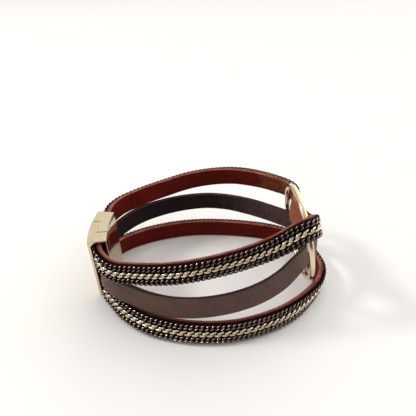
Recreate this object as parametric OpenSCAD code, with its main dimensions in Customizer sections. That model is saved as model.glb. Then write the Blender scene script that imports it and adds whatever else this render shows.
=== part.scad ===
// Bracelet of three leather straps, closed by a magnetic clasp and threaded through a ring.
// It stands on its edge: x runs to the right, y away from the viewer and z up from the floor.
// The straps leave the clasp at the left, pass along the front to the ring at the right,
// and come back along the rear into the other half of the clasp.

/* [Straps] */
// Width of each strap
strap_w = 5.9; // [5.4:0.1:6.0]
// Thickness of the leather
strap_t = 1.4; // [1.2:0.1:1.6]
// Bevel along the cut edges of the leather
edge_bevel = 0.35; // [0.1:0.05:0.5]

/* [Chain rows] */
// Width of one row of chain links
chain_w = 1.8; // [1.4:0.1:1.8]
// Height of a chain row above the leather
chain_h = 0.9; // [0.6:0.1:1]
// Distance between the middles of neighbouring rows
row_pitch = 1.95; // [1.9:0.05:2]
// Clearance between a row and the leather under it
row_gap = 0.18; // [0.15:0.01:0.18]

/* [Clasp] */
// Radius of the clasp's outside, which follows the wrist
clasp_r = 41.2; // [40:0.2:42]
// Length of the closed clasp, along its middle
clasp_l = 13.6; // [13.4:0.1:14]
// Thickness of the clasp, from the outside to the hollow
clasp_t = 5.2; // [5.1:0.1:5.4]
// Height of the clasp
clasp_h = 21.4; // [21.2:0.1:22]
// Wall of the mouths at the outside
outer_wall = 0.8; // [0.6:0.1:0.9]
// Wall of the mouths at the hollow
inner_wall = 0.6; // [0.5:0.1:0.7]
// Roof and floor of the mouths
mouth_roof = 0.6; // [0.5:0.1:0.8]
// Depth of each mouth
mouth_d = 3.7; // [3.6:0.1:3.9]
// Bevel where the outer wall meets the roof of a mouth
mouth_bevel = 0.9; // [0.4:0.1:1]
// How far the rounding of the upright corner at the outside of the rear end reaches
corner_reach = 0.9; // [0.3:0.1:1.1]
// How far the rear half stands back from the outside of the front half
rear_inset = 0.25; // [0:0.05:0.4]
// Width of the seam between the halves
seam = 0.12; // [0.08:0.02:0.2]

/* [Ring] */
// Radius of the middle of the ring's band
ring_r = 14.0; // [13.8:0.1:14]
// Width of the band along the ring's axis
band_w = 1.7; // [1.4:0.1:1.7]
// Thickness of the band across its width
band_t = 1.4; // [1.2:0.1:1.4]

/* [Hidden] */

// Colours
gold = [0.84, 0.75, 0.55];
chain_gold = [0.80, 0.71, 0.50];
gunmetal = [0.13, 0.11, 0.11];
suede = [0.36, 0.13, 0.10];
taupe = [0.33, 0.28, 0.25];

// Centre of the arc that the clasp follows, seen from above. Angles round it are counted in
// degrees from straight left and grow towards the rear.
clasp_centre = [5.6, -1.45];
front_end = -12.6;
function turn_over(length) = length / (clasp_r - clasp_t / 2) * 180 / PI;
rear_end = front_end + turn_over(clasp_l);

// The seam is stepped: its distance from the front end at the outside and at the hollow,
// and the share of the clasp's thickness at which it turns between the two
front_outside_l = 8.8;
front_inside_l = 4.2;
seam_share = 0.45;
seam_out = front_end + turn_over(front_outside_l);
seam_in = front_end + turn_over(front_inside_l);
seam_r = clasp_r - seam_share * clasp_t;
half_seam = turn_over(seam / 2);

// Angle at which the corner's rounding meets the faces on both sides of it
corner_angle = 20;
corner_r = corner_reach / (cos(corner_angle) - sin(corner_angle));

// How far a cutting shape runs past what it cuts
overrun = 1;

// Place of the ring: its middle, and how its plane leans and turns
ring_at = [25.7, 0.65, 16.75];
ring_lean = 10.6;
ring_turn = 3.8;

// Longest step between two sections of a strap
section_step = 2.8;
// Sides of a chain row's outline
row_sides = 8;

// Heights of the straps' lower edges in the mouths, one above the other: the lowest one's
// clearance above the mouth's floor, and the space between neighbours
mouth_clear = 0.4;
strap_space = 0.7;
mouth_lift = [for (k = [0:2]) mouth_roof + mouth_clear + k * (strap_w + strap_space)];
lift_b = mouth_lift[0];
lift_m = mouth_lift[1];
lift_t = mouth_lift[2];

// Routes of the straps, seen from above, from the front mouth round to the rear mouth.
// Columns: x, y, height of the lower edge above the floor, lean of the upper edge
// towards the hollow in degrees.
top_route = [
    [-32.3, -6.5, lift_t, 0], [-31.9, -9.6, lift_t, 2], [-30.8, -11.8, 13.5, 6], [-28.9, -13.8, 13.0, 10],
    [-26.0, -15.4, 12.9, 13], [-22.2, -16.5, 13.6, 15], [-16.4, -17.9, 14.8, 15], [-9.3, -19.0, 16.6, 13],
    [-2.9, -18.9, 18.1, 12], [3.7, -17.6, 19.0, 13], [10.7, -15.6, 20.1, 16], [15.6, -14.4, 21.6, 18],
    [19.4, -13.6, 23.6, 20], [22.4, -13.0, 25.5, 19], [24.0, -12.5, 26.0, 20], [25.4, -11.2, 25.5, 20],
    [26.2, -9.0, 24.0, 14], [26.0, -6.0, 21.5, -5], [24.7, -1.6, 20.1, -9], [24.3, 2.3, 19.2, -12],
    [24.5, 6.2, 18.6, -8], [25.2, 10.0, 17.9, 0], [26.1, 13.1, 17.5, 7], [26.0, 15.5, 17.7, 12],
    [24.1, 17.2, 18.3, 12], [20.5, 18.4, 19.1, 9], [14.7, 20.9, 19.4, 5], [7.2, 24.0, 18.7, 1],
    [0.0, 25.2, 17.6, -4], [-7.7, 24.5, 16.5, -7], [-16.5, 20.9, 15.5, -11], [-25.4, 15.7, 14.8, -12],
    [-30.2, 11.9, 14.3, -9], [-32.2, 8.4, 14.1, -4], [-32.5, 4.4, lift_t, 0], [-32.7, 0.2, lift_t, 0]];
middle_route = [
    [-33.0, -6.6, lift_m, 0], [-32.5, -9.2, lift_m, 2], [-31.3, -12.0, 6.9, 8], [-27.6, -15.4, 6.4, 13],
    [-22.6, -17.8, 6.2, 15], [-17.0, -20.3, 6.2, 17], [-11.5, -22.0, 6.6, 18], [-4.7, -22.8, 7.3, 18],
    [1.4, -22.5, 8.0, 18], [7.2, -21.3, 8.7, 19], [13.5, -18.7, 9.4, 21], [18.7, -15.3, 10.2, 23],
    [22.8, -11.3, 10.9, 22], [26.6, -7.1, 11.3, 17], [29.8, -2.7, 11.2, 11], [31.6, 2.3, 11.0, 3],
    [30.5, 7.1, 10.4, -6], [27.1, 10.2, 9.6, -7], [21.3, 14.2, 9.4, -8], [13.1, 18.5, 9.5, -10],
    [4.7, 21.0, 9.8, -4], [-2.3, 21.7, 9.8, -3], [-9.1, 20.9, 9.6, -5], [-16.7, 18.6, 9.3, -8],
    [-23.7, 15.2, 8.8, -9], [-28.5, 11.2, 8.3, -6], [-31.3, 7.8, 7.7, -3], [-32.9, 4.3, lift_m, 0],
    [-33.4, 0.2, lift_m, 0]];
bottom_route = [
    [-32.3, -6.5, lift_b, 0], [-32.0, -9.2, 0.9, 2], [-31.1, -11.3, 0.4, 10], [-29.0, -13.5, 0.1, 16],
    [-24.4, -18.2, 0.1, 20], [-17.8, -22.1, 0.1, 20], [-10.2, -24.2, 0.1, 19], [-2.7, -24.9, 0.1, 19],
    [5.2, -24.4, 0.1, 18], [14.0, -21.9, 0.1, 17], [21.6, -18.0, 0.1, 13], [27.5, -12.9, 0.1, 3],
    [31.5, -8.0, 0.1, -5], [33.3, -2.2, 0.1, -10], [32.2, 3.6, 0.1, -12], [30.6, 8.8, 0.1, -13],
    [26.7, 12.8, 0.1, -12], [19.3, 16.1, 0.1, -4], [11.3, 17.6, 0.1, -5], [3.1, 18.3, 0.1, -6],
    [-3.9, 18.3, 0.1, -6], [-10.7, 17.5, 0.1, -6], [-18.2, 15.5, 0.1, -6], [-24.9, 12.7, 0.1, -5],
    [-29.9, 9.5, 0.1, -4], [-31.8, 7.0, 0.5, -2], [-32.5, 4.2, lift_b, 0], [-32.7, 0.2, lift_b, 0]];

// Middle of a strap whose lower edge lies at the row's height
function middle_of(row) = [row[0], row[1],
    row[2] + strap_w / 2 * cos(row[3]) + strap_t / 2 * abs(sin(row[3])), row[3]];

// Smooth curve through the rows: four numbers at a time, with slopes taken over the chords
function chord(a, b) = norm([b[0] - a[0], b[1] - a[1], b[2] - a[2]]);
function slope(p, i) = let (last = len(p) - 1)
    i == 0 ? (p[1] - p[0]) / chord(p[0], p[1]) :
    i == last ? (p[last] - p[last - 1]) / chord(p[last - 1], p[last]) :
    let (before = chord(p[i - 1], p[i]), after = chord(p[i], p[i + 1]))
    ((p[i] - p[i - 1]) / before * after + (p[i + 1] - p[i]) / after * before) / (before + after);
function between(p, i, u) = let (h = chord(p[i], p[i + 1]))
    p[i] * (2 * u^3 - 3 * u^2 + 1) + slope(p, i) * h * (u^3 - 2 * u^2 + u)
    + p[i + 1] * (3 * u^2 - 2 * u^3) + slope(p, i + 1) * h * (u^3 - u^2);
function stations(route) = let (p = [for (row = route) middle_of(row)])
    [for (i = [0:len(p) - 2]) let (n = ceil(chord(p[i], p[i + 1]) / section_step))
        for (k = [0:n - 1]) between(p, i, k / n), p[len(p) - 1]];

// Frame at each station: place, direction out of the leather's outer face, direction up its width
function unit(v) = v / norm(v);
function place(s) = [s[0], s[1], s[2]];
function frames(route) = let (s = stations(route), last = len(s) - 1)
    [for (i = [0:last])
        let (ahead = unit(place(s[min(i + 1, last)]) - place(s[max(i - 1, 0)])),
             side = unit([ahead[1], -ahead[0], 0]),
             tall = [0, 0, 1] * cos(s[i][3]) - side * sin(s[i][3]),
             up = unit(tall - ahead * (tall * ahead)))
        [place(s[i]), cross(ahead, up), up]];

// One solid swept along the frames; its outline gives [out of the face, up the width]
module sweep(fr, outline) {
    m = len(outline);
    rings = len(fr);
    polyhedron(
        points = [for (f = fr) for (p = outline) f[0] + p[0] * f[1] + p[1] * f[2]],
        faces = concat(
            [for (i = [0:rings - 2]) for (k = [0:m - 1]) let (a = i * m + k, b = i * m + (k + 1) % m)
                each [[a, b, b + m], [a, b + m, a + m]]],
            [[for (k = [m - 1:-1:0]) k]],
            [[for (k = [0:m - 1]) (rings - 1) * m + k]]));
}

// Cut leather: a rectangle with bevelled corners
strap_outline = let (a = strap_t / 2, b = strap_w / 2, c = edge_bevel)
    [[a, -b + c], [a, b - c], [a - c, b], [-a + c, b], [-a, b - c], [-a, -b + c], [-a + c, -b], [a - c, -b]];
// Chain row: a flattened outline with a flat towards the leather
function row_outline(row) = [for (k = [0:row_sides - 1]) let (turn = (k + 0.5) * 360 / row_sides)
    [strap_t / 2 + row_gap + chain_h / 2 + chain_h / 2 * cos(turn) / cos(180 / row_sides),
     row * row_pitch + chain_w / 2 * sin(turn) / cos(180 / row_sides)]];

module strap(route) { sweep(frames(route), strap_outline); }
module chain_row(route, row) { sweep(frames(route), row_outline(row)); }

module strap_top() { color(suede) strap(top_route); }
module strap_middle() { color(taupe) strap(middle_route); }
module strap_bottom() { color(suede) strap(bottom_route); }
module chain_top_black_upper() { color(gunmetal) chain_row(top_route, 1); }
module chain_top_gold() { color(chain_gold) chain_row(top_route, 0); }
module chain_top_black_lower() { color(gunmetal) chain_row(top_route, -1); }
module chain_bottom_black_upper() { color(gunmetal) chain_row(bottom_route, 1); }
module chain_bottom_gold() { color(chain_gold) chain_row(bottom_route, 0); }
module chain_bottom_black_lower() { color(gunmetal) chain_row(bottom_route, -1); }

// A profile of radius and height turned round the clasp's centre from angle a0 to a1
module round_wrist(a0, a1) {
    translate([clasp_centre[0], clasp_centre[1], 0]) mirror([1, 0, 0])
        rotate([0, 0, a0]) rotate_extrude(angle = a1 - a0, $fn = 720) children();
}
module block(r0, r1, a0, a1) {
    round_wrist(a0, a1) translate([r0, 0]) square([r1 - r0, clasp_h]);
}
module cut_block(r0, r1, a0, a1) {
    round_wrist(a0, a1) translate([r0, -overrun]) square([r1 - r0, clasp_h + 2 * overrun]);
}

// Space for the straps' ends, between the two walls, the roof and the floor
module mouth(a0, a1) {
    r0 = clasp_r - clasp_t + inner_wall;
    r1 = clasp_r - outer_wall;
    z1 = clasp_h - mouth_roof;
    round_wrist(a0, a1)
        polygon([[r0, mouth_roof], [r1, mouth_roof], [r1, z1 - mouth_bevel],
            [r1 - mouth_bevel, z1], [r0, z1]]);
}

// What rounds an upright corner off: the corner lies at the origin, the clasp at negative x and y
module corner_cut() {
    inset = corner_r * cos(corner_angle);
    translate([-inset, -inset, -overrun]) linear_extrude(clasp_h + 2 * overrun) difference() {
        square(inset + overrun);
        circle(corner_r, $fn = 64);
    }
}

module clasp_front() {
    color(gold) difference() {
        block(clasp_r - clasp_t, clasp_r, front_end, seam_out - half_seam);
        cut_block(clasp_r - clasp_t - overrun, seam_r + seam / 2, seam_in - half_seam, rear_end);
        mouth(front_end - overrun, front_end + turn_over(mouth_d));
    }
}

module clasp_rear() {
    outside = clasp_r - rear_inset;
    color(gold) difference() {
        block(clasp_r - clasp_t, outside, seam_in + half_seam, rear_end);
        cut_block(seam_r - seam / 2, clasp_r + overrun, front_end, seam_out + half_seam);
        mouth(rear_end - turn_over(mouth_d), rear_end + overrun);
        translate([clasp_centre[0], clasp_centre[1], 0]) mirror([1, 0, 0])
            rotate([0, 0, rear_end]) translate([outside, 0, 0]) corner_cut();
    }
}

// The ring's band: a flat bar with round edges, turned about the ring's own axis
module ring() {
    flat = band_w - band_t;
    color(gold) translate(ring_at) rotate([0, 0, ring_turn]) rotate([0, 90 - ring_lean, 0])
        rotate_extrude($fn = 96) translate([ring_r, 0]) union() {
            translate([-band_t / 2, -flat / 2]) square([band_t, flat]);
            for (side = [-1, 1]) translate([0, side * flat / 2]) circle(band_t / 2, $fn = 32);
        }
}

clasp_front();
clasp_rear();
strap_top();
strap_middle();
strap_bottom();
chain_top_black_upper();
chain_top_gold();
chain_top_black_lower();
chain_bottom_black_upper();
chain_bottom_gold();
chain_bottom_black_lower();
ring();
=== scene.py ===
"""A leather bracelet of three straps with curb chain trim, a magnetic clasp and a ring."""

import math

import bmesh
import bpy
from mathutils import Matrix, Vector, noise


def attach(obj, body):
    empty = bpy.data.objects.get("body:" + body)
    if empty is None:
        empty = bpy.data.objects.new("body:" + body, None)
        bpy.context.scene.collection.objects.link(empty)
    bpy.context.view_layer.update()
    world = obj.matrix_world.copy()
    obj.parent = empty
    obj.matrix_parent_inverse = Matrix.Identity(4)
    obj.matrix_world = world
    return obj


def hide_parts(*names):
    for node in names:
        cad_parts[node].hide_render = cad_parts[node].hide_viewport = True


bl_info = {
    "name": "Leather Strap Bracelet",
    "version": (1, 0, 0),
    "blender": (4, 5, 0),
    "location": "View3D > Sidebar > Bracelet",
    "description": "Builds a leather bracelet with chain trim, a magnetic clasp and a ring",
    "category": "Add Mesh",
}

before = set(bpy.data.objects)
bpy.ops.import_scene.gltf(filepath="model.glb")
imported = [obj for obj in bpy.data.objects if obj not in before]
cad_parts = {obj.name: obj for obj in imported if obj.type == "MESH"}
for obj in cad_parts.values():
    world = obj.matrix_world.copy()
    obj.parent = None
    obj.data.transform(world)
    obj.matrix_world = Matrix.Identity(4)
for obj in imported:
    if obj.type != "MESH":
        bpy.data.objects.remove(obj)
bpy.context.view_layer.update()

# Millimetres to metres
MM = 0.001

# Routes of the straps in millimetres, from the front mouth of the clasp round to the rear mouth.
# Columns: x, y, height of the lower edge, lean of the upper edge towards the hollow in degrees.
LOW, MID, TOP = 1.0, 7.6, 14.2
TOP_ROUTE = (
    (-32.3, -6.5, TOP, 0), (-31.9, -9.6, TOP, 2), (-30.8, -11.8, 13.5, 6), (-28.9, -13.8, 13.0, 10),
    (-26.0, -15.4, 12.9, 13), (-22.2, -16.5, 13.6, 15), (-16.4, -17.9, 14.8, 15), (-9.3, -19.0, 16.6, 13),
    (-2.9, -18.9, 18.1, 12), (3.7, -17.6, 19.0, 13), (10.7, -15.6, 20.1, 16), (15.6, -14.4, 21.6, 18),
    (19.4, -13.6, 23.6, 20), (22.4, -13.0, 25.5, 19), (24.0, -12.5, 26.0, 20), (25.4, -11.2, 25.5, 20),
    (26.2, -9.0, 24.0, 14), (26.0, -6.0, 21.5, -5), (24.7, -1.6, 20.1, -9), (24.3, 2.3, 19.2, -12),
    (24.5, 6.2, 18.6, -8), (25.2, 10.0, 17.9, 0), (26.1, 13.1, 17.5, 7), (26.0, 15.5, 17.7, 12),
    (24.1, 17.2, 18.3, 12), (20.5, 18.4, 19.1, 9), (14.7, 20.9, 19.4, 5), (7.2, 24.0, 18.7, 1),
    (0.0, 25.2, 17.6, -4), (-7.7, 24.5, 16.5, -7), (-16.5, 20.9, 15.5, -11), (-25.4, 15.7, 14.8, -12),
    (-30.2, 11.9, 14.3, -9), (-32.2, 8.4, 14.1, -4), (-32.5, 4.4, TOP, 0), (-32.7, 0.2, TOP, 0),
)
MIDDLE_ROUTE = (
    (-33.0, -6.6, MID, 0), (-32.5, -9.2, MID, 2), (-31.3, -12.0, 6.9, 8), (-27.6, -15.4, 6.4, 13),
    (-22.6, -17.8, 6.2, 15), (-17.0, -20.3, 6.2, 17), (-11.5, -22.0, 6.6, 18), (-4.7, -22.8, 7.3, 18),
    (1.4, -22.5, 8.0, 18), (7.2, -21.3, 8.7, 19), (13.5, -18.7, 9.4, 21), (18.7, -15.3, 10.2, 23),
    (22.8, -11.3, 10.9, 22), (26.6, -7.1, 11.3, 17), (29.8, -2.7, 11.2, 11), (31.6, 2.3, 11.0, 3),
    (30.5, 7.1, 10.4, -6), (27.1, 10.2, 9.6, -7), (21.3, 14.2, 9.4, -8), (13.1, 18.5, 9.5, -10),
    (4.7, 21.0, 9.8, -4), (-2.3, 21.7, 9.8, -3), (-9.1, 20.9, 9.6, -5), (-16.7, 18.6, 9.3, -8),
    (-23.7, 15.2, 8.8, -9), (-28.5, 11.2, 8.3, -6), (-31.3, 7.8, 7.7, -3), (-32.9, 4.3, MID, 0),
    (-33.4, 0.2, MID, 0),
)
BOTTOM_ROUTE = (
    (-32.3, -6.5, LOW, 0), (-32.0, -9.2, 0.9, 2), (-31.1, -11.3, 0.4, 10), (-29.0, -13.5, 0.1, 16),
    (-24.4, -18.2, 0.1, 20), (-17.8, -22.1, 0.1, 20), (-10.2, -24.2, 0.1, 19), (-2.7, -24.9, 0.1, 19),
    (5.2, -24.4, 0.1, 18), (14.0, -21.9, 0.1, 17), (21.6, -18.0, 0.1, 13), (27.5, -12.9, 0.1, 3),
    (31.5, -8.0, 0.1, -5), (33.3, -2.2, 0.1, -10), (32.2, 3.6, 0.1, -12), (30.6, 8.8, 0.1, -13),
    (26.7, 12.8, 0.1, -12), (19.3, 16.1, 0.1, -4), (11.3, 17.6, 0.1, -5), (3.1, 18.3, 0.1, -6),
    (-3.9, 18.3, 0.1, -6), (-10.7, 17.5, 0.1, -6), (-18.2, 15.5, 0.1, -6), (-24.9, 12.7, 0.1, -5),
    (-29.9, 9.5, 0.1, -4), (-31.8, 7.0, 0.5, -2), (-32.5, 4.2, LOW, 0), (-32.7, 0.2, LOW, 0),
)

# The middle of the painted light on the leather, inside the ring's upper half, and how far round
# it the suede is painted lighter and the back of the plain strap has a painted sheen, in millimetres
LIT_PATCH_MIDDLE = (25.5, 5, 23)
SUEDE_LIT_REACH = 19
TAUPE_SHEEN_REACH = 33

# Between these lie nearly all values of a noise texture
NOISE_LOW, NOISE_HIGH = 0.3, 0.7


def srgb(red, green, blue):
    """A linear colour from screen values between 0 and 255."""
    def linear(value):
        share = value / 255
        return share / 12.92 if share <= 0.04045 else ((share + 0.055) / 1.055) ** 2.4
    return linear(red), linear(green), linear(blue)


def length(name, description, millimetres):
    """A length property with its default in millimetres."""
    return bpy.props.FloatProperty(
        name=name, description=description, default=millimetres * MM, min=0, unit="LENGTH", precision=5)


def colour(name, description, *screen):
    """A colour property with its default in screen values."""
    return bpy.props.FloatVectorProperty(
        name=name, description=description, default=srgb(*screen), size=3, min=0, max=1, subtype="COLOR")


class BraceletSizes(bpy.types.PropertyGroup):
    strap_width: length("Strap width", "Width of each strap", 5.9)
    strap_thickness: length("Strap thickness", "Thickness of the leather", 1.4)
    strap_rounding: length("Edge rounding", "Radius along the cut edges of the leather", 0.3)
    row_width: length("Row width", "Width of one row of links", 1.8)
    row_height: length("Row height", "Height of a row above the leather", 0.9)
    row_pitch: length("Row pitch", "Distance between the middles of neighbouring rows", 1.95)
    row_gap: length("Row gap", "Clearance between a row and the leather", 0.18)
    black_pitch: length("Black link pitch", "Distance from one black link to the next", 1.4)
    black_wire: length("Black wire", "Thickness of a black link's wire", 0.5)
    gold_pitch: length("Gold link pitch", "Distance from one gold link to the next", 1.99)
    gold_wire: length("Gold wire", "Thickness of a gold link's wire", 0.62)
    gold_width: length("Gold link width", "Width of a gold link", 1.66)
    clasp_radius: length("Clasp radius", "Radius of the clasp's outside", 41.2)
    clasp_length: length("Clasp length", "Length of the closed clasp along its middle", 13.6)
    clasp_thickness: length("Clasp thickness", "From the outside to the hollow", 5.2)
    clasp_height: length("Clasp height", "Height of the clasp", 21.4)
    ring_radius: length("Ring radius", "Radius of the middle of the ring's band", 14.0)
    band_width: length("Band width", "Width of the ring's band along its axis", 1.7)
    band_thickness: length("Band thickness", "Thickness of the ring's band", 1.4)


class BraceletColours(bpy.types.PropertyGroup):
    suede: colour("Suede", "Inside of the trimmed straps", 98, 26, 20)
    # Painted light: lighter suede where the straps turn round the ring
    lit_suede: colour("Painted-lit suede", "Suede where the straps turn round the ring", 142, 84, 60)
    cut_edge: colour("Cut edge", "Cut edges of the trimmed straps", 126, 80, 68)
    # Dark leather, darkened further as painted shade under the chain rows
    face_in_chain_shade: colour("Face in shade of the chains", "Outer face of the trimmed straps", 36, 13, 11)
    taupe: colour("Taupe", "Outer face of the plain strap", 86, 57, 48)
    taupe_edge: colour("Taupe edge", "Cut edges of the plain strap", 62, 46, 44)
    taupe_back: colour("Taupe back", "Inside of the plain strap", 30, 14, 20)
    # Painted sheen: the lighter back of the plain strap near the ring
    taupe_sheen: colour("Taupe painted sheen", "Inside of the plain strap near the ring", 84, 62, 62)
    gold: colour("Clasp gold", "Plating of the clasp and the ring", 224, 207, 174)
    chain_gold: colour("Chain gold", "Plating of the gold links", 242, 224, 196)
    # Painted highlight of the black links, on their ridges where they face up
    black_link_highlight: colour("Black link highlight", "Plating of the black links where it is rubbed", 216, 186, 175)
    # Painted shade in the hollows of the links, which for the black links is also their own dark plating
    link_hollow_shade: colour("Link hollow shade", "Dark plating in the hollows of the links", 26, 9, 8)
    floor: colour("Floor", "Colour of the floor", 246, 244, 241)


def new_material(name, base, roughness, metallic=0.0, **sockets):
    """A Principled material with its even values set on the shader's own sockets."""
    material = bpy.data.materials.new(name)
    material.use_nodes = True
    shader = material.node_tree.nodes["Principled BSDF"]
    shader.inputs["Base Color"].default_value = (*base, 1)
    shader.inputs["Roughness"].default_value = roughness
    shader.inputs["Metallic"].default_value = metallic
    for socket, value in sockets.items():
        shader.inputs[socket.replace("_", " ")].default_value = value
    return material, material.node_tree, shader


def add_node(tree, kind, **inputs):
    """A node with its inputs set; spaces in their names are written as underscores."""
    node = tree.nodes.new(kind)
    for name, value in inputs.items():
        node.inputs[name.replace("_", " ")].default_value = value
    return node


def combine(tree, operation, first, second):
    """The result of a math node; each part is a number or a socket."""
    node = tree.nodes.new("ShaderNodeMath")
    node.operation = operation
    for socket, value in zip(node.inputs, (first, second)):
        if isinstance(value, (int, float)):
            socket.default_value = value
        else:
            tree.links.new(value, socket)
    return node.outputs["Value"]


def noise_of(tree, vector, scale, detail=3.0, roughness=0.55):
    """A noise texture on the given coordinates."""
    node = add_node(tree, "ShaderNodeTexNoise", Scale=scale, Detail=detail, Roughness=roughness)
    tree.links.new(vector, node.inputs["Vector"])
    return node.outputs["Fac"]


def ramp_of(tree, value, *stops):
    """A colour ramp with stops of (position, colour)."""
    node = tree.nodes.new("ShaderNodeValToRGB")
    elements = node.color_ramp.elements
    while len(elements) < len(stops):
        elements.new(1)
    for element, (position, shade) in zip(elements, stops):
        element.position = position
        element.color = (*shade, 1)
    tree.links.new(value, node.inputs["Fac"])
    return node.outputs["Color"]


def range_of(tree, value, low, high, to_low, to_high):
    """A value carried from one range to another."""
    node = add_node(tree, "ShaderNodeMapRange", From_Min=low, From_Max=high, To_Min=to_low, To_Max=to_high)
    tree.links.new(value, node.inputs["Value"])
    return node.outputs["Result"]


def varied(tree, cloud, centre, amount):
    """A noise value carried to a spread about a centre."""
    return range_of(tree, cloud, NOISE_LOW, NOISE_HIGH, centre - amount, centre + amount)


def bump_of(tree, shader, height, strength, distance):
    """A bump on the shader from a height."""
    node = add_node(tree, "ShaderNodeBump", Strength=strength, Distance=distance)
    tree.links.new(height, node.inputs["Height"])
    tree.links.new(node.outputs["Normal"], shader.inputs["Normal"])


def shade(base, factor):
    """A lighter or darker version of a colour."""
    return tuple(min(1.0, part * factor) for part in base)


def tones_of(tree, cloud, base, darkest, lightest):
    """A colour that a noise value makes darker and lighter."""
    return ramp_of(tree, cloud, (NOISE_LOW, shade(base, darkest)), (NOISE_HIGH, shade(base, lightest)))


def coordinates(tree, output="Object"):
    """Coordinates that a texture is laid on."""
    return tree.nodes.new("ShaderNodeTexCoord").outputs[output]


def attribute_of(tree, name):
    """A value that the mesh carries at its points."""
    node = tree.nodes.new("ShaderNodeAttribute")
    node.attribute_name = name
    return node.outputs["Fac"]


def upward_of(tree):
    """How far the surface faces up, from -1 to 1."""
    split = tree.nodes.new("ShaderNodeSeparateXYZ")
    tree.links.new(tree.nodes.new("ShaderNodeNewGeometry").outputs["Normal"], split.inputs["Vector"])
    return split.outputs["Z"]


def near_ring(tree, place, patches, reach):
    """1 beside the ring's upper half, falling to 0 raggedly at the reach in millimetres."""
    stray = 4 * MM
    full_share = 0.4
    away = tree.nodes.new("ShaderNodeVectorMath")
    away.operation = "DISTANCE"
    away.inputs[1].default_value = Vector(LIT_PATCH_MIDDLE) * MM
    tree.links.new(place, away.inputs[0])
    ragged = combine(tree, "ADD", away.outputs["Value"], varied(tree, patches, 0, stray))
    return range_of(tree, ragged, reach * MM, full_share * reach * MM, 0.0, 1.0)


def mix_of(tree, factor, first, second):
    """A blend from the first colour to the second."""
    node = tree.nodes.new("ShaderNodeMix")
    node.data_type = "RGBA"
    tree.links.new(factor, node.inputs[0])
    tree.links.new(first, node.inputs[6])
    tree.links.new(second, node.inputs[7])
    return node.outputs[2]


def mean_of(tree, share, first, second):
    """A mean of two values, in which the second one counts for the share."""
    node = add_node(tree, "ShaderNodeMix", Factor=share)
    node.data_type = "FLOAT"
    tree.links.new(first, node.inputs[2])
    tree.links.new(second, node.inputs[3])
    return node.outputs[0]


def suede_material(colours):
    """Suede with a cloudy nap and painted light: lighter where the straps turn round the ring."""
    material, tree, shader = new_material("suede", colours.suede, 0.95,
                                          Sheen_Weight=0.08, Sheen_Roughness=0.5, Specular_IOR_Level=0.1)
    shader.inputs["Sheen Tint"].default_value = (*shade(colours.suede, 3), 1)
    place = coordinates(tree)
    nap = noise_of(tree, place, 900, 4)
    patches = noise_of(tree, place, 160, 2)
    cloudy = mean_of(tree, 0.35, nap, patches)
    base = tones_of(tree, cloudy, colours.suede, 0.65, 1.35)
    # Painted light: a lighter tone of the suede beside the ring
    lit_tone = tones_of(tree, cloudy, colours.lit_suede, 0.7, 1.3)
    near = near_ring(tree, place, patches, SUEDE_LIT_REACH)
    tree.links.new(mix_of(tree, near, base, lit_tone), shader.inputs["Base Color"])
    bump_of(tree, shader, noise_of(tree, place, 3500, 3), 0.5, 0.12 * MM)
    return material


def edge_material(name, base, contrast):
    """Raw cut leather: fibres along the strap, with a painted highlight at the back and painted shade at the
    outer face.
    """
    material, tree, shader = new_material(name, base, 0.9, Specular_IOR_Level=0.2)
    stretch = add_node(tree, "ShaderNodeMapping", Scale=(9, 30, 1))
    tree.links.new(coordinates(tree, "UV"), stretch.inputs["Vector"])
    fibres = noise_of(tree, stretch.outputs["Vector"], 3, 5, 0.7)
    uneven = combine(tree, "ADD", attribute_of(tree, "depth"), varied(tree, fibres, 0, contrast))
    lit_to_shaded = range_of(tree, uneven, -1, 1, 0, 1)
    # Painted light across the cut, in both tones: a highlight at the back, shade towards the outer face
    tone = ramp_of(tree, lit_to_shaded, (0.0, shade(base, 2.0)), (0.4, shade(base, 1.5)), (0.7, shade(base, 0.7)),
                   (1.0, shade(base, 0.15)))
    dyed = tuple(part * share for part, share in zip(base, (0.85, 0.5, 0.45)))
    redder = ramp_of(tree, lit_to_shaded, (0.0, shade(dyed, 1.8)), (0.6, dyed), (1.0, shade(dyed, 0.2)))
    stain = range_of(tree, noise_of(tree, coordinates(tree), 330, 4, 0.7), 0.42, 0.58, 0.0, 1.0)
    tree.links.new(mix_of(tree, stain, tone, redder), shader.inputs["Base Color"])
    bump_of(tree, shader, fibres, 0.8, 0.15 * MM)
    return material


def face_material(name, base, roughness, specular=0.4, sheen_colour=None):
    """Finished grain leather: pebbles, shallow creases and, if given, a lighter colour near the ring as a
    painted sheen.
    """
    material, tree, shader = new_material(name, base, roughness, Specular_IOR_Level=specular)
    place = coordinates(tree)
    grain = add_node(tree, "ShaderNodeTexVoronoi", Scale=1500.0)
    grain.feature = "SMOOTH_F1"
    tree.links.new(place, grain.inputs["Vector"])
    clouds = noise_of(tree, place, 220, 4)
    creases = noise_of(tree, place, 1100, 5, 0.65)
    mottle = mean_of(tree, 0.5, clouds, creases)
    tone = ramp_of(tree, mottle, (0.35, shade(base, 0.72)), (0.65, shade(base, 1.28)))
    if sheen_colour:
        # Painted sheen near the ring
        sheen_tone = ramp_of(tree, creases, (0.35, shade(sheen_colour, 0.6)), (0.65, shade(sheen_colour, 1.3)))
        tone = mix_of(tree, near_ring(tree, place, clouds, TAUPE_SHEEN_REACH), tone, sheen_tone)
    tree.links.new(tone, shader.inputs["Base Color"])
    tree.links.new(varied(tree, clouds, roughness, 0.07), shader.inputs["Roughness"])
    bump_of(tree, shader, combine(tree, "ADD", grain.outputs["Distance"], creases), 0.8, 0.2 * MM)
    return material


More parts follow.
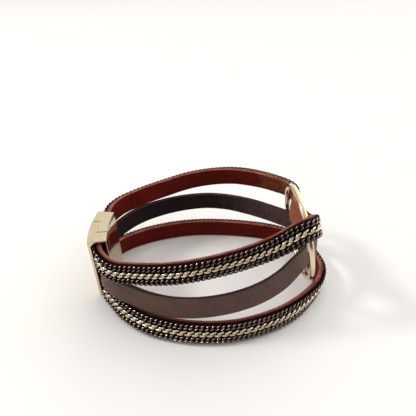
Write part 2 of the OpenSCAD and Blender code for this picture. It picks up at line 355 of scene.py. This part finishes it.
def metal_material(name, base, satin, sides):
    """Plated metal: one roughness where it faces up, another at the sides, and fine wear."""
    material, tree, shader = new_material(name, base, satin, 1.0)
    place = coordinates(tree)
    facing = range_of(tree, upward_of(tree), 0.6, 0.95, sides, satin)
    wear = noise_of(tree, place, 900, 4)
    rough = combine(tree, "ADD", facing, varied(tree, wear, 0, 0.04))
    tree.links.new(rough, shader.inputs["Roughness"])
    tree.links.new(tones_of(tree, wear, base, 0.94, 1.04), shader.inputs["Base Color"])
    bump_of(tree, shader, noise_of(tree, place, 2400, 3), 0.06, 0.05 * MM)
    return material


def links_material(name, base, hollow, roughness, low, high, lit):
    """Plated chain links: painted shade in the hollows, and a painted highlight on the ridges, most where
    they face up.
    """
    material, tree, shader = new_material(name, base, roughness, 1.0)
    place = coordinates(tree)
    clouds = noise_of(tree, place, 700, 2)
    # Painted highlight where the ridge and upward masks meet; painted shade in the rest
    ridge = range_of(tree, attribute_of(tree, "ridge"), low, high, 0.0, 1.0)
    upward = range_of(tree, upward_of(tree), 0.15, 0.9, lit, 1.0)
    tone = ramp_of(tree, combine(tree, "MULTIPLY", ridge, upward), (0.1, hollow), (0.9, base))
    tree.links.new(tone, shader.inputs["Base Color"])
    rough = range_of(tree, clouds, NOISE_LOW, NOISE_HIGH, roughness - 0.05, roughness + 0.08)
    tree.links.new(rough, shader.inputs["Roughness"])
    return material


def mouth_shade_material():
    """The unlit inside of the clasp's mouths: painted shade, with dried glue."""
    material, tree, shader = new_material("mouth_shade", srgb(24, 18, 16), 0.7)
    glue = noise_of(tree, coordinates(tree), 700, 3)
    tone = ramp_of(tree, glue, (0.35, srgb(14, 10, 9)), (0.75, srgb(44, 34, 28)))
    tree.links.new(tone, shader.inputs["Base Color"])
    bump_of(tree, shader, glue, 0.4, 0.2 * MM)
    return material


def add_object(name, data):
    """An object for the data, linked into the scene."""
    item = bpy.data.objects.new(name, data)
    bpy.context.collection.objects.link(item)
    return item


def tube_faces(ring_count, count):
    """Faces through rings of points, side by side along each ring, and then the two end caps."""
    faces = []
    for ring in range(ring_count - 1):
        for part in range(count):
            here = ring * count + part
            beside = ring * count + (part + 1) % count
            faces.append((here, beside, beside + count, here + count))
    faces.append(tuple(reversed(range(count))))
    faces.append(tuple(range((ring_count - 1) * count, ring_count * count)))
    return faces


def face_outward(mesh, merge_within=0.0):
    """Turns all faces outward, after points that coincide are merged if a distance is given."""
    work = bmesh.new()
    work.from_mesh(mesh)
    if merge_within:
        bmesh.ops.remove_doubles(work, verts=work.verts, dist=merge_within)
    bmesh.ops.recalc_face_normals(work, faces=work.faces)
    work.to_mesh(mesh)
    work.free()


def middle_of(row, sizes):
    """Middle of a strap whose lower edge lies at the row's height, with its lean."""
    x, y, low, lean = row
    tilt = math.radians(lean)
    rise = sizes.strap_width / 2 * math.cos(tilt) + sizes.strap_thickness / 2 * abs(math.sin(tilt))
    return Vector((x * MM, y * MM, low * MM + rise, lean))


def chord(start, end):
    """Distance between two points of a route, without their lean."""
    return (end - start).to_3d().length


def slope(points, index):
    """Slope of the smooth curve at one of its points, taken over the chords."""
    last = len(points) - 1
    if index == 0:
        return (points[1] - points[0]) / chord(points[0], points[1])
    if index == last:
        return (points[last] - points[last - 1]) / chord(points[last - 1], points[last])
    before = chord(points[index - 1], points[index])
    after = chord(points[index], points[index + 1])
    rise_before = (points[index] - points[index - 1]) / before
    rise_after = (points[index + 1] - points[index]) / after
    return (rise_before * after + rise_after * before) / (before + after)


def between(points, index, share):
    """Point of the smooth curve at a share of the way from one row to the next."""
    reach = chord(points[index], points[index + 1])
    square, cube = share ** 2, share ** 3
    return (points[index] * (2 * cube - 3 * square + 1)
            + slope(points, index) * reach * (cube - 2 * square + share)
            + points[index + 1] * (3 * square - 2 * cube)
            + slope(points, index + 1) * reach * (cube - square))


# Columns of a section: direction out of the outer face, and way covered
OUT, WAY = 1, 3


def sections(route, sizes, step):
    """Sections along a route: place, direction out of the outer face, direction up, way covered."""
    points = [middle_of(row, sizes) for row in route]
    stops = []
    for index in range(len(points) - 1):
        count = math.ceil(chord(points[index], points[index + 1]) / step)
        stops += [between(points, index, part / count) for part in range(count)]
    stops.append(points[-1])
    result = []
    way = 0.0
    for index, stop in enumerate(stops):
        after = stops[min(index + 1, len(stops) - 1)].to_3d()
        before = stops[max(index - 1, 0)].to_3d()
        ahead = (after - before).normalized()
        side = Vector((ahead.y, -ahead.x, 0)).normalized()
        tilt = math.radians(stop.w)
        tall = Vector((0, 0, 1)) * math.cos(tilt) - side * math.sin(tilt)
        up = (tall - ahead * tall.dot(ahead)).normalized()
        if index:
            way += chord(stops[index - 1], stop)
        result.append((stop.to_3d(), ahead.cross(up), up, way))
    return result


# Material slots of a strap
FACE, EDGE, BACK = range(3)


def strap_outline(sizes):
    """Outline of the cut leather as rows of (out of the face, up the width, material slot)."""
    half_t = sizes.strap_thickness / 2
    half_w = sizes.strap_width / 2
    radius = sizes.strap_rounding
    corner_steps = 4
    face_steps = 10
    edge_steps = 5
    outline = []

    def run(start, end, steps, kind):
        for part in range(steps):
            share = part / steps
            across = start[0] + (end[0] - start[0]) * share
            along_width = start[1] + (end[1] - start[1]) * share
            outline.append((across, along_width, kind))

    def corner(centre, begin, kinds):
        for part, kind in zip(range(corner_steps), kinds):
            turn = math.radians(begin + 90 * part / corner_steps)
            outline.append((centre[0] + radius * math.cos(turn), centre[1] + radius * math.sin(turn), kind))

    inner_t, inner_w = half_t - radius, half_w - radius
    run((half_t, -inner_w), (half_t, inner_w), face_steps, FACE)
    corner((inner_t, inner_w), 0, (FACE, FACE, FACE, EDGE))
    run((inner_t, half_w), (-inner_t, half_w), edge_steps, EDGE)
    corner((-inner_t, inner_w), 90, (EDGE, EDGE, EDGE, BACK))
    run((-half_t, inner_w), (-half_t, -inner_w), face_steps, BACK)
    corner((-inner_t, -inner_w), 180, (BACK, EDGE, EDGE, EDGE))
    run((-inner_t, -half_w), (inner_t, -half_w), edge_steps, EDGE)
    corner((inner_t, -inner_w), 270, (EDGE, FACE, FACE, FACE))
    return outline


def build_strap(name, route, sizes, materials):
    """One strap, with a slightly ragged cut edge."""
    ragged = 0.08 * MM
    wavy = 0.04 * MM
    step = 0.35 * MM
    lower_share = 0.5
    # How fast the noise changes to the millimetre: the cut's along the strap and across it, the
    # swell's along and up it, and the layer of the noise that the swell reads
    cut_along, cut_across = 2.2, 1.6
    swell_along, swell_up = 0.12, 0.3
    swell_layer = 3.7
    outline = strap_outline(sizes)
    rings = sections(route, sizes, step)
    count = len(outline)
    mesh = bpy.data.meshes.new(name)
    points = []
    for place, out, up, way in rings:
        for across, along_width, kind in outline:
            point = place + out * across + up * along_width
            if kind == EDGE:
                spot = Vector((way / MM * cut_along, across / MM * cut_across, along_width / MM))
                rough = noise.noise(spot)
                point += up * rough * ragged * (1 if along_width > 0 else lower_share)
            spot = Vector((way / MM * swell_along, along_width / MM * swell_up, swell_layer))
            swell = noise.noise(spot)
            point += out * swell * wavy
            points.append(point)
    kinds = [kind for across, along_width, kind in outline] * (len(rings) - 1) + [EDGE, EDGE]
    mesh.from_pydata(points, [], tube_faces(len(rings), count))
    around = [0.0]
    for part in range(count):
        start, end = outline[part], outline[(part + 1) % count]
        around.append(around[-1] + math.dist(start[:2], end[:2]))
    depth = mesh.attributes.new("depth", "FLOAT", "POINT")
    for index in range(len(points)):
        depth.data[index].value = outline[index % count][0] / (sizes.strap_thickness / 2)
    layer = mesh.uv_layers.new(name="strap")
    centimetre = 10 * MM
    for face, kind in zip(mesh.polygons, kinds):
        face.material_index = kind
        for corner in face.loop_indices:
            vertex = mesh.loops[corner].vertex_index
            ring, part = divmod(vertex, count)
            turn = around[part]
            if part == 0 and len(face.vertices) == 4 and face.vertices[0] % count == count - 1:
                turn = around[count]
            layer.data[corner].uv = (rings[ring][WAY] / centimetre, turn / centimetre)
    for material in materials:
        mesh.materials.append(material)
    mesh.shade_smooth()
    return add_object(name, mesh)


def row_path(name, route, row, sizes, start, end):
    """The middle line of a chain row as a mesh of edges that knows which way is out."""
    step = 0.5 * MM
    rings = sections(route, sizes, step)
    finish = rings[-1][WAY] - end
    rings = [ring for ring in rings if start <= ring[WAY] <= finish]
    off = sizes.strap_thickness / 2 + sizes.row_gap + sizes.row_height / 2
    points = [place + out * off + up * row * sizes.row_pitch for place, out, up, way in rings]
    mesh = bpy.data.meshes.new(name)
    mesh.from_pydata(points, [(i, i + 1) for i in range(len(points) - 1)], [])
    layer = mesh.attributes.new("out", "FLOAT_VECTOR", "POINT")
    for index, ring in enumerate(rings):
        layer.data[index].vector = ring[OUT]
    return add_object(name, mesh)


def chain_tree():
    """Geometry Nodes: a twisted, flattened link at every pitch along a path."""
    tree = bpy.data.node_groups.new("Curb Chain", "GeometryNodeTree")
    inputs = (
        ("Path", "NodeSocketGeometry"), ("Pitch", "NodeSocketFloat"), ("Link Length", "NodeSocketFloat"),
        ("Link Width", "NodeSocketFloat"), ("Wire Radius", "NodeSocketFloat"), ("Twist", "NodeSocketFloat"),
        ("Half Height", "NodeSocketFloat"), ("Play", "NodeSocketFloat"), ("Seed", "NodeSocketInt"),
        ("Bends", "NodeSocketInt"), ("Sides", "NodeSocketInt"), ("Material", "NodeSocketMaterial"),
    )
    for name, kind in inputs:
        tree.interface.new_socket(name, in_out="INPUT", socket_type=kind)
    tree.interface.new_socket("Chain", in_out="OUTPUT", socket_type="NodeSocketGeometry")
    given = tree.nodes.new("NodeGroupInput").outputs

    def link(source, target):
        tree.links.new(source, target)

    def math_of(operation, first, second):
        return combine(tree, operation, first, second)

    circle = tree.nodes.new("GeometryNodeCurvePrimitiveCircle")
    circle.inputs["Radius"].default_value = 1
    link(given["Bends"], circle.inputs["Resolution"])
    round_place = tree.nodes.new("ShaderNodeSeparateXYZ")
    link(tree.nodes.new("GeometryNodeInputPosition").outputs[0], round_place.inputs[0])
    oval_place = tree.nodes.new("ShaderNodeCombineXYZ")
    link(math_of("MULTIPLY", round_place.outputs["X"], math_of("MULTIPLY", given["Link Length"], 0.5)),
         oval_place.inputs["X"])
    link(math_of("MULTIPLY", round_place.outputs["Y"], math_of("MULTIPLY", given["Link Width"], 0.5)),
         oval_place.inputs["Y"])
    saddle = math_of("MULTIPLY", round_place.outputs["X"], round_place.outputs["Y"])
    link(math_of("MULTIPLY", saddle, math_of("MULTIPLY", given["Twist"], -2)), oval_place.inputs["Z"])
    oval = tree.nodes.new("GeometryNodeSetPosition")
    link(circle.outputs["Curve"], oval.inputs["Geometry"])
    link(oval_place.outputs["Vector"], oval.inputs["Position"])

    section = tree.nodes.new("GeometryNodeCurvePrimitiveCircle")
    link(given["Sides"], section.inputs["Resolution"])
    link(given["Wire Radius"], section.inputs["Radius"])
    wire = tree.nodes.new("GeometryNodeCurveToMesh")
    link(oval.outputs["Geometry"], wire.inputs["Curve"])
    link(section.outputs["Curve"], wire.inputs["Profile Curve"])

    wire_place = tree.nodes.new("ShaderNodeSeparateXYZ")
    link(tree.nodes.new("GeometryNodeInputPosition").outputs[0], wire_place.inputs[0])
    flat_height = math_of("MAXIMUM", math_of("MINIMUM", wire_place.outputs["Z"], given["Half Height"]),
                          math_of("MULTIPLY", given["Half Height"], -1))
    flat_place = tree.nodes.new("ShaderNodeCombineXYZ")
    link(wire_place.outputs["X"], flat_place.inputs["X"])
    link(wire_place.outputs["Y"], flat_place.inputs["Y"])
    link(flat_height, flat_place.inputs["Z"])
    marked = tree.nodes.new("GeometryNodeStoreNamedAttribute")
    marked.data_type = "FLOAT"
    marked.domain = "POINT"
    marked.inputs["Name"].default_value = "ridge"
    link(wire.outputs["Mesh"], marked.inputs["Geometry"])
    link(math_of("DIVIDE", wire_place.outputs["Z"], given["Half Height"]), marked.inputs["Value"])
    flat = tree.nodes.new("GeometryNodeSetPosition")
    link(marked.outputs["Geometry"], flat.inputs["Geometry"])
    link(flat_place.outputs["Vector"], flat.inputs["Position"])

    curve = tree.nodes.new("GeometryNodeMeshToCurve")
    link(given["Path"], curve.inputs["Mesh"])
    spaced = tree.nodes.new("GeometryNodeResampleCurve")
    spaced.mode = "LENGTH"
    link(curve.outputs["Curve"], spaced.inputs["Curve"])
    link(given["Pitch"], spaced.inputs["Length"])
    outward = tree.nodes.new("GeometryNodeInputNamedAttribute")
    outward.data_type = "FLOAT_VECTOR"
    outward.inputs["Name"].default_value = "out"
    facing = tree.nodes.new("FunctionNodeAxesToRotation")
    facing.primary_axis = "X"
    facing.secondary_axis = "Z"
    link(tree.nodes.new("GeometryNodeInputTangent").outputs[0], facing.inputs["Primary Axis"])
    link(outward.outputs["Attribute"], facing.inputs["Secondary Axis"])
    play = tree.nodes.new("FunctionNodeRandomValue")
    play.data_type = "FLOAT_VECTOR"
    link(given["Play"], play.inputs["Max"])
    link(math_of("MULTIPLY", given["Play"], -1), play.inputs["Min"])
    link(given["Seed"], play.inputs["Seed"])
    loose = tree.nodes.new("FunctionNodeRotateRotation")
    loose.rotation_space = "LOCAL"
    link(facing.outputs["Rotation"], loose.inputs["Rotation"])
    link(play.outputs["Value"], loose.inputs["Rotate By"])

    row = tree.nodes.new("GeometryNodeInstanceOnPoints")
    link(spaced.outputs["Curve"], row.inputs["Points"])
    link(flat.outputs["Geometry"], row.inputs["Instance"])
    link(loose.outputs["Rotation"], row.inputs["Rotation"])
    real = tree.nodes.new("GeometryNodeRealizeInstances")
    link(row.outputs["Instances"], real.inputs["Geometry"])
    smooth = tree.nodes.new("GeometryNodeSetShadeSmooth")
    link(real.outputs["Geometry"], smooth.inputs["Geometry"])
    finish = tree.nodes.new("GeometryNodeSetMaterial")
    link(smooth.outputs["Geometry"], finish.inputs["Geometry"])
    link(given["Material"], finish.inputs["Material"])
    link(finish.outputs["Geometry"], tree.nodes.new("NodeGroupOutput").inputs["Chain"])
    return tree


def plain_copy(source, name):
    """The evaluated result of an object and its modifiers as a plain mesh object; the source goes."""
    graph = bpy.context.evaluated_depsgraph_get()
    mesh = bpy.data.meshes.new_from_object(source.evaluated_get(graph), depsgraph=graph)
    mesh.name = name
    piece = add_object(name, mesh)
    bpy.data.objects.remove(source)
    return piece


def build_chain(name, path, tree, values):
    """One row of links along a path."""
    modifier = path.modifiers.new("Curb Chain", "NODES")
    modifier.node_group = tree
    for item in tree.interface.items_tree:
        if item.item_type == "SOCKET" and item.in_out == "INPUT" and item.name in values:
            modifier[item.identifier] = values[item.name]
    return plain_copy(path, name)


# Where the clasp's arc is centred seen from above, the angle of its front end, and the largest
# step between an arc's points. Angles are in degrees from straight left and grow towards the rear.
CLASP_CENTRE = (5.6 * MM, -1.45 * MM)
FRONT_END = -12.6
ARC_STEP = 0.5

# Length of the front half outside and inside the seam's step, and where the step lies in the thickness
FRONT_OUTSIDE = 8.8 * MM
FRONT_INSIDE = 4.2 * MM
SEAM_SHARE = 0.45
SEAM = 0.12 * MM

# How far the rear half stands back outside, and the reach of its round corner
REAR_INSET = 0.25 * MM
CORNER_REACH = 0.9 * MM

# Walls round the mouths, the mouths' depth and upper outer bevel, and how far their cutters overrun
OUTER_WALL = 0.8 * MM
INNER_WALL = 0.6 * MM
MOUTH_ROOF = 0.6 * MM
MOUTH_DEPTH = 3.7 * MM
MOUTH_BEVEL = 0.9 * MM
OVERRUN = 1 * MM


def turn_over(sizes, way):
    """Angle in degrees that a length along the clasp's middle takes."""
    return math.degrees(way / (sizes.clasp_radius - sizes.clasp_thickness / 2))


def on_clasp(radius, angle, height):
    """A point at a radius and an angle round the clasp's centre."""
    turn = math.radians(angle)
    x, y = CLASP_CENTRE
    return Vector((x - radius * math.cos(turn), y + radius * math.sin(turn), height))


def arc(radius, start, end):
    """Points of an arc round the clasp's centre as (radius, angle), a step or less apart."""
    count = max(2, math.ceil(abs(end - start) / ARC_STEP))
    return [(radius, start + (end - start) * part / count) for part in range(count + 1)]


def solid_from_rings(name, rings):
    """A closed solid through rings of points, the first and the last one capped."""
    mesh = bpy.data.meshes.new(name)
    mesh.from_pydata([point for ring in rings for point in ring], [], tube_faces(len(rings), len(rings[0])))
    face_outward(mesh, merge_within=1e-7)
    return add_object(name, mesh)


def clasp_half(name, outline, mouth_from, mouth_to, sizes, materials):
    """One half of the clasp: its plan raised to its height, the mouth cut out and the edges softened."""
    mouth_steps = 12
    edge_radius = 0.16 * MM
    sharp_angle = 35
    skin = 0.02 * MM
    half = solid_from_rings(name, [[on_clasp(radius, angle, height) for radius, angle in outline]
                                   for height in (0, sizes.clasp_height)])
    inner = sizes.clasp_radius - sizes.clasp_thickness + INNER_WALL
    outer = sizes.clasp_radius - OUTER_WALL
    roof = sizes.clasp_height - MOUTH_ROOF
    profile = ((inner, MOUTH_ROOF), (outer, MOUTH_ROOF), (outer, roof - MOUTH_BEVEL),
               (outer - MOUTH_BEVEL, roof), (inner, roof))
    angles = [mouth_from + (mouth_to - mouth_from) * part / mouth_steps for part in range(mouth_steps + 1)]
    cutter = solid_from_rings("mouth", [[on_clasp(radius, angle, height) for radius, height in profile]
                                        for angle in angles])
    cut = half.modifiers.new("Mouth", "BOOLEAN")
    cut.operation = "DIFFERENCE"
    cut.solver = "EXACT"
    cut.object = cutter
    soften = half.modifiers.new("Soft edges", "BEVEL")
    soften.width = edge_radius
    soften.segments = 3
    soften.limit_method = "ANGLE"
    soften.angle_limit = math.radians(sharp_angle)
    soften.harden_normals = True
    half.data.shade_smooth()
    piece = plain_copy(half, name)
    bpy.data.objects.remove(cutter)
    piece.data.materials.clear()
    for material in materials:
        piece.data.materials.append(material)
    margin = turn_over(sizes, 0.5 * MM)
    # Faces deep inside the mouths take the second material, which is painted shade
    for face in piece.data.polygons:
        middle = face.center - Vector((*CLASP_CENTRE, 0))
        radius = middle.to_2d().length
        angle = math.degrees(math.atan2(middle.y, -middle.x))
        inside = inner - skin < radius < outer + skin and MOUTH_ROOF - skin < middle.z < roof + skin
        within = mouth_from < angle < mouth_to
        deep = FRONT_END + margin < angle < rear_end(sizes) - margin
        face.material_index = 1 if inside and within and deep else 0
    return piece


def rear_end(sizes):
    """Angle of the clasp's rear end in degrees."""
    return FRONT_END + turn_over(sizes, sizes.clasp_length)


def front_plan(sizes):
    """Plan of the front half, with the step of the seam."""
    outside = sizes.clasp_radius
    inside = sizes.clasp_radius - sizes.clasp_thickness
    step = outside - SEAM_SHARE * sizes.clasp_thickness + SEAM / 2
    gap = turn_over(sizes, SEAM / 2)
    out_end = FRONT_END + turn_over(sizes, FRONT_OUTSIDE) - gap
    in_end = FRONT_END + turn_over(sizes, FRONT_INSIDE) - gap
    return arc(outside, FRONT_END, out_end) + arc(step, out_end, in_end) + arc(inside, in_end, FRONT_END)


def rear_plan(sizes):
    """Plan of the rear half, with the step of the seam and a round corner at the outside."""
    outside = sizes.clasp_radius - REAR_INSET
    inside = sizes.clasp_radius - sizes.clasp_thickness
    step = sizes.clasp_radius - SEAM_SHARE * sizes.clasp_thickness - SEAM / 2
    gap = turn_over(sizes, SEAM / 2)
    out_start = FRONT_END + turn_over(sizes, FRONT_OUTSIDE) + gap
    in_start = FRONT_END + turn_over(sizes, FRONT_INSIDE) + gap
    end = rear_end(sizes)
    corner = []
    corner_steps = 8
    for part in range(1, corner_steps):
        turn = math.radians(90 * part / corner_steps)
        back = CORNER_REACH * (1 - math.sin(turn))
        corner.append((outside - CORNER_REACH * (1 - math.cos(turn)), end - turn_over(sizes, back)))
    return (arc(outside, out_start, end - turn_over(sizes, CORNER_REACH)) + corner
            + arc(inside, end, in_start) + arc(step, in_start, out_start))


# The ring's middle in millimetres, and how its plane leans and turns in degrees
RING_MIDDLE = (25.7, 0.65, 16.75)
RING_LEAN = 10.6
RING_TURN = 3.8


def build_ring(name, sizes, material):
    """The ring's band: a flat bar with round edges, turned about the ring's axis."""
    flat = sizes.band_width - sizes.band_thickness
    round_steps = 12
    around_steps = 180
    profile = []
    for side in (1, -1):
        for part in range(round_steps + 1):
            turn = math.radians(180 * part / round_steps)
            profile.append((side * sizes.band_thickness / 2 * math.cos(turn),
                            side * (flat / 2 + sizes.band_thickness / 2 * math.sin(turn))))
    stand = (Matrix.Translation(Vector(RING_MIDDLE) * MM) @ Matrix.Rotation(math.radians(RING_TURN), 4, "Z")
             @ Matrix.Rotation(math.radians(90 - RING_LEAN), 4, "Y"))
    count = len(profile)
    points = []
    for step in range(around_steps):
        turn = 2 * math.pi * step / around_steps
        for across, along_axis in profile:
            radius = sizes.ring_radius + across
            points.append(stand @ Vector((radius * math.cos(turn), radius * math.sin(turn), along_axis)))
    faces = []
    for step in range(around_steps):
        after = (step + 1) % around_steps
        for part in range(count):
            beside = (part + 1) % count
            faces.append((step * count + part, after * count + part,
                          after * count + beside, step * count + beside))
    mesh = bpy.data.meshes.new(name)
    mesh.from_pydata(points, [], faces)
    face_outward(mesh)
    mesh.materials.append(material)
    mesh.shade_smooth()
    return add_object(name, mesh)


def seat(piece, slot, *nodes):
    """The piece stands for its CAD nodes and rides with the bracelet."""
    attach(piece, "root")
    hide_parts(*nodes)


class BRACELET_OT_straps(bpy.types.Operator):
    """Add the three leather straps"""
    bl_idname = "bracelet.straps"
    bl_label = "Straps"

    def execute(self, context):
        sizes = context.scene.bracelet_sizes
        colours = context.scene.bracelet_colours
        # The outer face's colour is darkened as painted shade under the chain rows
        trimmed = (face_material("trimmed_face", colours.face_in_chain_shade, 0.6, 0.1),
                   edge_material("cut_edge", colours.cut_edge, 0.7),
                   suede_material(colours))
        plain = (face_material("plain_face", colours.taupe, 0.5),
                 edge_material("plain_edge", colours.taupe_edge, 0.3),
                 face_material("plain_back", colours.taupe_back, 0.5, 0.15, colours.taupe_sheen))
        for name, route, finish, slot in (
                ("top", TOP_ROUTE, trimmed, "suede_leather"),
                ("middle", MIDDLE_ROUTE, plain, "taupe_leather"),
                ("bottom", BOTTOM_ROUTE, trimmed, "suede_leather")):
            piece = build_strap(f"{name}_leather", route, sizes, finish)
            seat(piece, slot, f"strap_{name}")
        return {"FINISHED"}


class BRACELET_OT_chains(bpy.types.Operator):
    """Add the rows of curb chain on the top and bottom straps"""
    bl_idname = "bracelet.chains"
    bl_label = "Chain rows"

    def execute(self, context):
        sizes = context.scene.bracelet_sizes
        colours = context.scene.bracelet_colours
        tree = chain_tree()
        black = links_material("black_links", colours.black_link_highlight, colours.link_hollow_shade, 0.12, 0.35, 1.0, 0.02)
        gold = links_material("gold_links", colours.chain_gold, colours.link_hollow_shade, 0.22, 0.05, 0.55, 0.65)
        # Where the rows begin on their strap and how far before its end they stop
        black_start = 1 * MM
        gold_start = 5.5 * MM
        end_gap = 1 * MM
        twist_share = 0.65
        seed = 0
        for strap, route in (("top", TOP_ROUTE), ("bottom", BOTTOM_ROUTE)):
            for kind, row in (("black_upper", 1), ("gold", 0), ("black_lower", -1)):
                seed += 1
                golden = kind == "gold"
                pitch = sizes.gold_pitch if golden else sizes.black_pitch
                wire = sizes.gold_wire if golden else sizes.black_wire
                width = sizes.gold_width if golden else sizes.row_width
                path = row_path("path", route, row, sizes, gold_start if golden else black_start, end_gap)
                values = {
                    "Pitch": pitch, "Link Length": pitch + wire, "Link Width": width - wire,
                    "Wire Radius": wire / 2, "Twist": wire * twist_share, "Half Height": sizes.row_height / 2,
                    "Play": 0.05, "Seed": seed, "Bends": 14, "Sides": 6,
                    "Material": gold if golden else black,
                }
                piece = build_chain(f"{strap}_{kind}_links", path, tree, values)
                seat(piece, "gold_chain" if golden else "black_chain", f"chain_{strap}_{kind}")
        return {"FINISHED"}


class BRACELET_OT_clasp(bpy.types.Operator):
    """Add the two halves of the magnetic clasp"""
    bl_idname = "bracelet.clasp"
    bl_label = "Clasp"

    def execute(self, context):
        sizes = context.scene.bracelet_sizes
        colours = context.scene.bracelet_colours
        materials = (metal_material("clasp_gold", colours.gold, 0.32, 0.12), mouth_shade_material())
        over = turn_over(sizes, OVERRUN)
        depth = turn_over(sizes, MOUTH_DEPTH)
        end = rear_end(sizes)
        front = clasp_half("clasp_front_half", front_plan(sizes), FRONT_END - over, FRONT_END + depth,
                           sizes, materials)
        seat(front, "clasp_gold", "clasp_front")
        rear = clasp_half("clasp_rear_half", rear_plan(sizes), end - depth, end + over, sizes, materials)
        seat(rear, "clasp_gold", "clasp_rear")
        return {"FINISHED"}


class BRACELET_OT_ring(bpy.types.Operator):
    """Add the ring that the straps are threaded through"""
    bl_idname = "bracelet.ring"
    bl_label = "Ring"

    def execute(self, context):
        sizes = context.scene.bracelet_sizes
        colours = context.scene.bracelet_colours
        piece = build_ring("gold_ring", sizes, metal_material("ring_gold", colours.gold, 0.2, 0.16))
        seat(piece, "ring_gold", "ring")
        return {"FINISHED"}


def add_area_light(name, place, size, power, tint):
    """A round soft light that points at the middle of the bracelet's foot."""
    light = bpy.data.lights.new(name, "AREA")
    light.shape = "DISK"
    light.size = size
    light.energy = power
    light.color = tint
    lamp = add_object(name, light)
    lamp.location = place
    lamp.rotation_euler = (-Vector(place)).to_track_quat("-Z", "Y").to_euler()


# Soft lights of the room: direction, cosine at which each begins, and its least and greatest strength
WINDOWS = (
    ((0.8, 0.6, 0.35), 0.2, 0.0, 1.9),
    ((-1, 0, 0.3), 0.0, 0.0, 0.6),
    ((0, 0, 1), 0.5, 0.1, 0.4),
)


def light_world(world):
    """A pale room: a bright window behind to the right, a dimmer one on the left, and a pale ceiling."""
    tree = world.node_tree
    direction = tree.nodes.new("ShaderNodeTexCoord").outputs["Generated"]
    total = 0.0
    for toward, low, dimmest, brightest in WINDOWS:
        facing = tree.nodes.new("ShaderNodeVectorMath")
        facing.operation = "DOT_PRODUCT"
        facing.inputs[1].default_value = Vector(toward).normalized()
        tree.links.new(direction, facing.inputs[0])
        window = range_of(tree, facing.outputs["Value"], low, 1.0, dimmest, brightest)
        total = combine(tree, "ADD", total, window)
    background = tree.nodes["Background"]
    background.inputs["Color"].default_value = (1, 0.985, 0.965, 1)
    tree.links.new(total, background.inputs["Strength"])


# Half the floor's side, and the main light's place and width in metres and its power in watts
FLOOR_REACH = 3.0
KEY_PLACE = (-0.62, 0.1, 0.55)
KEY_SIZE = 0.16
KEY_POWER = 2.5

# Camera: its place in millimetres, its focal length for a sensor of 36 mm, how far it is raised
# from straight down and how far it rolls, in degrees
CAMERA_PLACE = (-1.8, -82.2, 88.0)
CAMERA_LENS = 31.15
CAMERA_PITCH = 52.9
CAMERA_ROLL = 0.44


class BRACELET_OT_stage(bpy.types.Operator):
    """Add the floor, the lights and the camera"""
    bl_idname = "bracelet.stage"
    bl_label = "Stage"

    def execute(self, context):
        colours = context.scene.bracelet_colours
        mesh = bpy.data.meshes.new("floor")
        corners = [(x * FLOOR_REACH, y * FLOOR_REACH, 0) for x, y in ((-1, -1), (1, -1), (1, 1), (-1, 1))]
        mesh.from_pydata(corners, [], [(0, 1, 2, 3)])
        material, tree, shader = new_material("floor", colours.floor, 0.55)
        mottle = noise_of(tree, coordinates(tree), 60, 3)
        tree.links.new(tones_of(tree, mottle, colours.floor, 0.985, 1.0), shader.inputs["Base Color"])
        mesh.materials.append(material)
        floor = add_object("floor", mesh)

        world = bpy.data.worlds.new("studio")
        world.use_nodes = True
        light_world(world)
        context.scene.world = world
        add_area_light("key", KEY_PLACE, KEY_SIZE, KEY_POWER, (1, 0.98, 0.96))
        context.scene.view_settings.view_transform = "Standard"
        context.scene.view_settings.look = "None"

        lens = bpy.data.cameras.new("camera")
        lens.lens = CAMERA_LENS
        lens.sensor_width = 36
        lens.clip_start = 0.005
        lens.clip_end = 20
        camera = add_object("camera", lens)
        camera.rotation_euler = (Matrix.Rotation(math.radians(CAMERA_PITCH), 3, "X")
                                 @ Matrix.Rotation(math.radians(CAMERA_ROLL), 3, "Z")).to_euler()
        camera.location = Vector(CAMERA_PLACE) * MM
        context.scene.camera = camera
        return {"FINISHED"}


OPERATORS = (
    BRACELET_OT_stage, BRACELET_OT_straps, BRACELET_OT_chains, BRACELET_OT_clasp, BRACELET_OT_ring)


class VIEW3D_PT_bracelet(bpy.types.Panel):
    """Lists the bracelet's pieces with their sizes and colours"""
    bl_label = "Bracelet"
    bl_space_type = "VIEW_3D"
    bl_region_type = "UI"
    bl_category = "Bracelet"

    def draw(self, context):
        for operator in OPERATORS:
            self.layout.operator(operator.bl_idname)
        for group in (context.scene.bracelet_sizes, context.scene.bracelet_colours):
            for name in group.__annotations__:
                self.layout.prop(group, name)


CLASSES = (BraceletSizes, BraceletColours, *OPERATORS, VIEW3D_PT_bracelet)


def register():
    """Registers the classes and gives the scene its sizes and colours."""
    for item in CLASSES:
        bpy.utils.register_class(item)
    bpy.types.Scene.bracelet_sizes = bpy.props.PointerProperty(type=BraceletSizes)
    bpy.types.Scene.bracelet_colours = bpy.props.PointerProperty(type=BraceletColours)


def unregister():
    """Takes back what register did."""
    del bpy.types.Scene.bracelet_colours
    del bpy.types.Scene.bracelet_sizes
    for item in reversed(CLASSES):
        bpy.utils.unregister_class(item)


def main():
    """Builds everything."""
    register()
    bpy.ops.bracelet.stage()
    bpy.ops.bracelet.straps()
    bpy.ops.bracelet.chains()
    bpy.ops.bracelet.clasp()
    bpy.ops.bracelet.ring()


if __name__ == "__main__":
    main()
